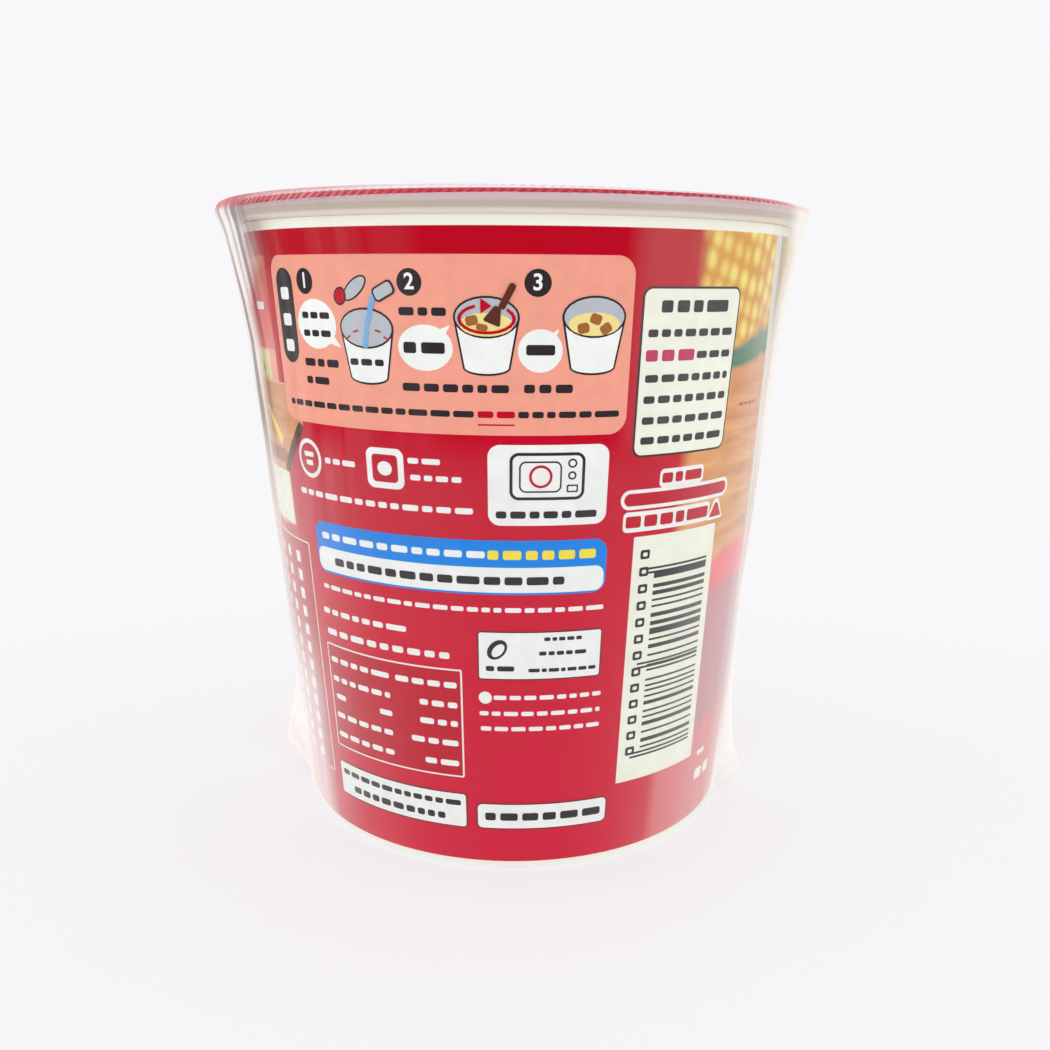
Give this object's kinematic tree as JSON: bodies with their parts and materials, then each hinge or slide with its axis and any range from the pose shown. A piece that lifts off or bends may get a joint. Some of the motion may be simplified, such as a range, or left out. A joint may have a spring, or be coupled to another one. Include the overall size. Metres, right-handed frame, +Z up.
{
  "type": "instant soup cup",
  "caption": "Sealed instant soup cup: tapered paper cup with a rolled rim, printed outer sleeve and peel-off lid, shut in clear shrink film.",
  "frame": {"origin": "centre of the flat underside, where the pack stands", "axes": "+Z up along the cup's axis; the panel with the preparation steps faces -Y and the cup's front faces +Y; the film's seal corners lie along X"},
  "size_m": [0.0885, 0.087, 0.0926],
  "materials": {
    "cup_paper": "satin",
    "sleeve_print": "satin",
    "lid_laminate": "gloss",
    "shrink_film": "gloss"
  },
  "bodies": {
    "root": {"cup": "cup_paper", "sleeve": "sleeve_print", "lid": "lid_laminate", "film": "shrink_film"}
  },
  "joints": []
}
